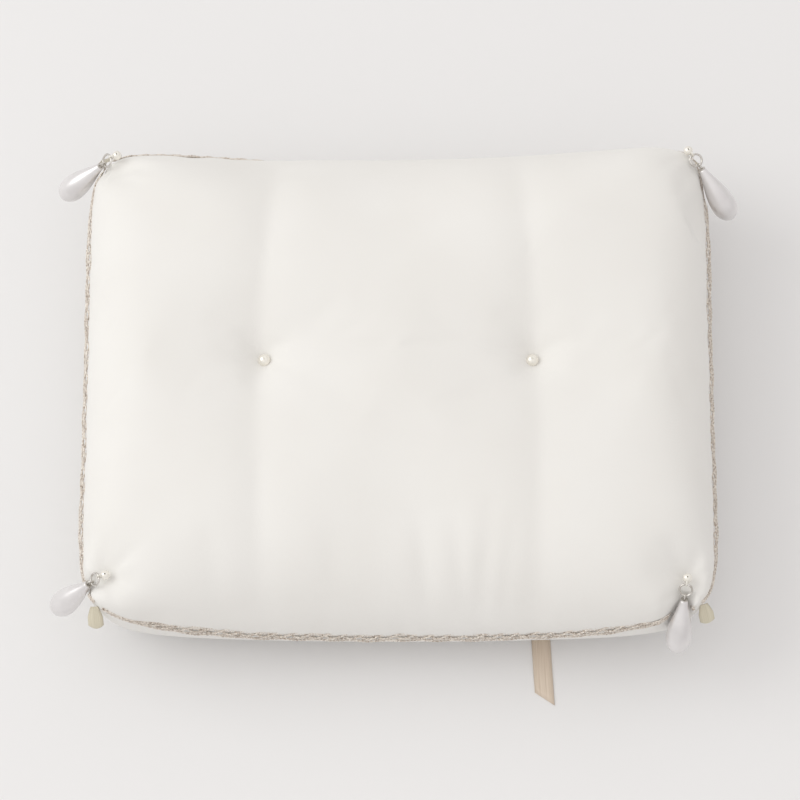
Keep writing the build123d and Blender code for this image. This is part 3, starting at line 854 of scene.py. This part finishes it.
def side_line(side):
    """Evenly spaced places, outward directions and distances along one side's seam."""
    sweep = np.linspace(-1, 1, 1500)
    one = np.ones_like(sweep)
    edges = {"front": (sweep, -one), "back": (-sweep, one), "left": (-one, -sweep), "right": (one, sweep)}
    u, v = edges[side]
    x, y = seam_plan(u, v)
    line = back_edge_pull(np.stack([x, y, seam_height(x, y)], axis=1))
    steps = np.concatenate([[0], np.linalg.norm(np.diff(line, axis=0), axis=1).cumsum()])
    along = np.arange(TIED_END, steps[-1] - TIED_END, STEP)
    line = np.stack([np.interp(along, steps, line[:, k]) for k in range(3)], axis=1)
    ahead = np.gradient(line, axis=0)
    ahead /= np.linalg.norm(ahead, axis=1)[:, None]
    out = np.stack([ahead[:, 1], -ahead[:, 0], np.zeros(len(ahead))], axis=1)
    out /= np.linalg.norm(out, axis=1)[:, None]
    across = np.cross(out, ahead)
    across *= np.sign(across[:, 2])[:, None]
    lean = radians(LEAN[side])
    leaned_across = across * cos(lean) - out * sin(lean)
    leaned_out = out * cos(lean) + across * sin(lean)
    return line, leaned_across, leaned_out, along - TIED_END


# %% braid cords
WAVE = 11.0 * MM  # the length of one scallop
AT_CORNER = 0.26  # the braid's width where it is tied, as a share of its full one


def braid_cords(side):
    """Middle lines and ply radii of one side's cords."""
    line, across, out, along = side_line(side)
    to_corner = np.minimum(along, along[-1] - along)
    full = np.clip((to_corner - 7 * MM) / (26 * MM), 0, 1)
    full = AT_CORNER + (1 - AT_CORNER) * full * full * (3 - 2 * full)
    phase = 2 * pi * along / WAVE
    wave, swell = np.sin(phase), np.cos(phase)
    scallop = np.abs(np.sin(phase / 2)) ** 0.8
    wobble = 0.12 * MM * np.sin(along / (5.3 * MM) + 1.3) + 0.10 * MM * np.sin(along / (2.9 * MM))
    cords = []
    for width, lift, radius in (
        (1.15 * MM * wave, 0.55 * MM + 0.30 * MM * swell, 0.36),  # two cords that cross
        (-1.15 * MM * wave, 0.55 * MM - 0.30 * MM * swell, 0.36),
        (1.25 * MM + 1.5 * MM * scallop, 0.45 * MM + 0.1 * MM * swell, 0.30),  # two scalloped ones
        (0.65 * MM + 1.25 * MM * scallop, 0.55 * MM, 0.26),
        (-1.75 * MM + 0.25 * MM * swell, 0.45 * MM, 0.34),  # two plain ones
        (-2.45 * MM + 0.2 * MM * wave, 0.35 * MM, 0.28),
        (0, 0.15 * MM, 0.42),  # the core
    ):
        sideways = ((width + wobble + RISE[side]) * full)[:, None]
        outwards = (lift * (0.5 + 0.5 * full))[:, None]
        middle = line + across * sideways + out * outwards
        cords.append((middle, across, out, along, radius * MM * (0.62 + 0.38 * full)))
    return cords


# %% braid strands
def bevelled_strands(strands):
    """A mesh of round strands, each given as points with a radius at every point."""
    data = bpy.data.curves.new("strands", "CURVE")
    data.dimensions = "3D"
    data.bevel_depth = 1.0
    data.bevel_resolution = 0
    data.use_fill_caps = True
    for points, radius in strands:
        spline = data.splines.new("POLY")
        spline.points.add(len(points) - 1)
        for control, point, size in zip(spline.points, points, radius):
            control.co = (*point, 1)
            control.radius = size
    guide = bpy.data.objects.new("strands", data)
    bpy.context.collection.objects.link(guide)
    mesh = bpy.data.meshes.new_from_object(guide)
    bpy.data.objects.remove(guide)
    return mesh


PLY_PITCH = 2.6 * MM  # the length of one turn of a cord's plies


def twisted(middle, across, out, along, radius):
    """Two plies that wind round each other along a cord's middle line."""
    for start in (0, pi):
        turn = 2 * pi * along / PLY_PITCH + start
        wind = across * np.cos(turn)[:, None] + out * np.sin(turn)[:, None]
        ply = middle + wind * (radius * 0.52)[:, None]
        yield clear_of_charms(ply, 0.45 * MM), radius * 0.62


# %% the four braids
for side in SIDES:
    strands = [ply for cord_line in braid_cords(side) for ply in twisted(*cord_line)]
    bm = bmesh.new()
    bm.from_mesh(bevelled_strands(strands))
    finish_piece(f"gimp_braid_{side}", bm, gimp_braid, f"braid_{side}")

# %% [markdown]
# ## Pearls
# Every pearl is turned from half an outline, spun all the way round. A ball that is pulled out of shape
# would also do for a drop, but its neck and its belly couldn't be set apart. A drop has a narrow neck
# under its wire cap and a full round end, and its outline is two Bezier arcs that meet where it is
# widest.

# %% turning helper
UP = Vector((0, 0, 1))


def turned(outline, steps):
    """A bmesh of the outline, given as (radius, height) pairs, spun round the Z axis."""
    bm = bmesh.new()
    verts = [bm.verts.new((radius, 0, height)) for radius, height in outline]
    edges = [bm.edges.new(pair) for pair in zip(verts, verts[1:])]
    bmesh.ops.spin(
        bm, geom=verts + edges, axis=(0, 0, 1), cent=(0, 0, 0), angle=2 * pi, steps=steps, use_merge=True)
    bmesh.ops.remove_doubles(bm, verts=bm.verts, dist=0.5e-6)
    return bm


def stand_at(bm, place, way):
    """Turn a piece that was made along +Z so that it points a given way from a given place."""
    turn = UP.rotation_difference(way).to_matrix()
    bmesh.ops.rotate(bm, verts=bm.verts, cent=(0, 0, 0), matrix=turn)
    bmesh.ops.translate(bm, verts=bm.verts, vec=place)


# %% drops
neck = Vector((1.15 * MM, 0.0, 0.0))
belly = Vector((DROP_RADIUS, 0.70 * DROP_LENGTH, 0.0))
tip = Vector((0.0, DROP_LENGTH, 0.0))
upper_arc = interpolate_bezier(
    neck, Vector((1.85 * MM, 0.20 * DROP_LENGTH, 0)),
    Vector((DROP_RADIUS, 0.44 * DROP_LENGTH, 0)), belly, 22)
lower_arc = interpolate_bezier(
    belly, Vector((DROP_RADIUS, 0.868 * DROP_LENGTH, 0)),
    Vector((0.56 * DROP_RADIUS, DROP_LENGTH, 0)), tip, 16)
outline = [(0.0, 0.0), (0.8 * MM, 0.0)]
outline += [(point.x, point.y) for point in upper_arc] + [(point.x, point.y) for point in lower_arc[1:]]
for corner, (start, way, _) in charms.items():
    bm = turned(outline, 56)
    stand_at(bm, start + way * CAP_LIFT, way)
    finish_piece(f"pearl_drop_{corner}", bm, drop_pearl, f"drop_{corner}", body=f"charm_{corner}")

# %% round pearls
def round_pearl(name, place, radius, hole, node):
    """A ball with a drilled hole through which its thread goes."""
    arc = np.linspace(asin(hole / radius), pi, 26)
    half = [(hole * 0.6, radius * 0.80)] + [(radius * sin(a), radius * cos(a)) for a in arc]
    bm = turned(half, 36)
    stand_at(bm, place, UP)
    finish_piece(name, bm, bead_pearl, node)


for corner, place in beads.items():
    round_pearl(f"corner_pearl_{corner}", place, BEAD_RADIUS, 0.3 * MM, f"corner_bead_{corner}")
for side, place in tufts.items():
    round_pearl(f"tuft_bead_{side}", place, TUFT_RADIUS, 0.4 * MM, f"tuft_pearl_{side}")

# %% [markdown]
# ## Corner loops
# A short end of satin is folded into a loop and caught in the seam at each corner. It is a strip whose
# line goes out from the seam, round the fold and back; at the seam it is gathered to less than half
# its width. The CAD loop gives its place: the longest way of its points is the way the loop sticks out,
# the next its width, and the shortest its thickness.

# %% corner loops
LOOP_ROWS, LOOP_COLUMNS = 40, 6
LOOP_THICK = 0.1 * MM
for corner in CORNERS:
    node = f"corner_loop_{corner}"
    cloud = np.array([v.co for v in frame["nodes"][node].data.vertices])
    middle = (cloud.min(axis=0) + cloud.max(axis=0)) / 2
    ways = np.linalg.eigh(np.cov((cloud - cloud.mean(axis=0)).T))[1]
    thick_way, wide_way, long_way = ways[:, 0], ways[:, 1], ways[:, 2]
    if long_way[2] > 0:
        long_way = -long_way
    reach = (cloud - middle) @ long_way
    width = np.ptp((cloud - middle) @ wide_way)
    root = middle + long_way * reach.min()
    length = reach.max() - reach.min()
    bm = bmesh.new()
    bmesh.ops.create_grid(bm, x_segments=LOOP_ROWS, y_segments=LOOP_COLUMNS, size=0.5)
    flat = bm.loops.layers.uv.new("ribbon")
    for face in bm.faces:
        for loop in face.loops:
            loop[flat].uv = (loop.vert.co.x * 2 * length, loop.vert.co.y * width)
    for vert in bm.verts:
        turn = vert.co.x * 2 * pi * 0.93  # once round the loop, from seam to seam
        out = (0.5 + 0.5 * cos(turn)) ** 0.75
        gape = sin(turn) * 0.42 * MM * (0.35 + 0.65 * out)
        spread_out = 0.42 + 0.58 * min(1.0, out * 1.9) ** 0.8
        cup = 0.25 * MM * (2 * vert.co.y) ** 2 * np.sign(gape)
        rounding = 0.985 - 0.16 * out * (2 * vert.co.y) ** 2
        vert.co = Vector(
            root + long_way * (out * length * rounding) + wide_way * (vert.co.y * width * spread_out)
            + thick_way * (gape - cup))
    bmesh.ops.solidify(bm, geom=bm.faces, thickness=LOOP_THICK)
    finish_piece(f"satin_loop_{corner}", bm, loop_satin, node)

# %% [markdown]
# ## Wire and thread
# The jump rings, the eye pins and the stitches already have the right shape in the frame. Making them
# again would only add ways to go wrong, so they keep their meshes and get their finishes.

# %% finishes of the kept parts
kept = {
    "jump_ring": silver_wire, "eye_pin": silver_wire,
    "thread_loop": sewing_thread, "tuft_thread": sewing_thread}
for name, node in frame["nodes"].items():
    for start, finish in kept.items():
        if name.startswith(start):
            if not node.data.materials:
                node.data.materials.append(finish)
            for holder in node.material_slots:
                holder.material = finish
print("kept parts", sum(name.startswith(tuple(kept)) for name in frame["nodes"]))

# %% [markdown]
# ## Floor and light
# The pillow lies on a white table in a pale room, which lights it from all round, a little more from
# above, and a weak window stands to the left. So the shadows are faint and fall to the right. Lamps
# alone would leave them too dark, so nearly all the light comes from the world.

# %% floor
TABLE_HALF = 3.0  # metres from its middle to its edge
table_finish, tree, shader = new_finish("table_top", 0.75)
haze = use_group(tree, uneven, Patch_size=0.4)
colour_between(tree, shader, haze.outputs["Patches"], (0.80, 0.795, 0.795), (0.82, 0.815, 0.815))
bm = bmesh.new()
bmesh.ops.create_grid(bm, x_segments=2, y_segments=2, size=TABLE_HALF)
table_mesh = bpy.data.meshes.new("table_top")
bm.to_mesh(table_mesh)
bm.free()
table_top = bpy.data.objects.new("table_top", table_mesh)
bpy.context.collection.objects.link(table_top)
table_mesh.materials.append(table_finish)
table_top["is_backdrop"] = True
print("table", 2 * TABLE_HALF, "m wide")


# %% light
ROOM_LIGHT, FROM_ABOVE, FROM_LEFT, LEAST = 0.69, 0.30, 0.05, 0.1  # strengths of the room's light


def soft_light(name, place, aim, size, watts, colour):
    """A round lamp that faces a place."""
    data = bpy.data.lights.new(name, "AREA")
    data.shape = "DISK"
    data.size = size
    data.energy = watts
    data.color = colour
    lamp = bpy.data.objects.new(name, data)
    bpy.context.collection.objects.link(lamp)
    lamp.location = place
    lamp.rotation_euler = (Vector(aim) - Vector(place)).to_track_quat("-Z", "Y").to_euler()


soft_light("window", (-1.40, 0.25, 1.15), (0, 0, 0), 1.5, 9.0, (0.98, 1.0, 0.98))
world = bpy.data.worlds.new("pale_room")
world.use_nodes = True
room = world.node_tree
background = room.nodes["Background"]
background.inputs["Color"].default_value = (1.0, 0.978, 0.966, 1)
way_out = room.nodes.new("ShaderNodeTexCoord")
parts = room.nodes.new("ShaderNodeSeparateXYZ")
room.links.new(way_out.outputs["Generated"], parts.inputs[0])
upwards = math_node(room, "MULTIPLY", parts.outputs["Z"], FROM_ABOVE)
sideways = math_node(room, "MULTIPLY", parts.outputs["X"], FROM_LEFT)
room_light = math_node(room, "ADD", math_node(room, "SUBTRACT", upwards, sideways), ROOM_LIGHT)
room.links.new(math_node(room, "MAXIMUM", room_light, LEAST), background.inputs["Strength"])
bpy.context.scene.world = world
bpy.context.scene.view_settings.view_transform = "Standard"
print("lamps", [lamp.name for lamp in bpy.data.lights], "and world", world.name)

# %% [markdown]
# ## Size and finish
# Two boxes are printed side by side: the one of the frame, measured first, and the one of what is shown
# now.

# %% size and end
shown_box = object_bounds()
sizes = {"cad": [list(corner) for corner in cad_box], "visual": [list(corner) for corner in shown_box]}
for label, box in sizes.items():
    print(label, [[round(c * 1000, 2) for c in corner] for corner in box])
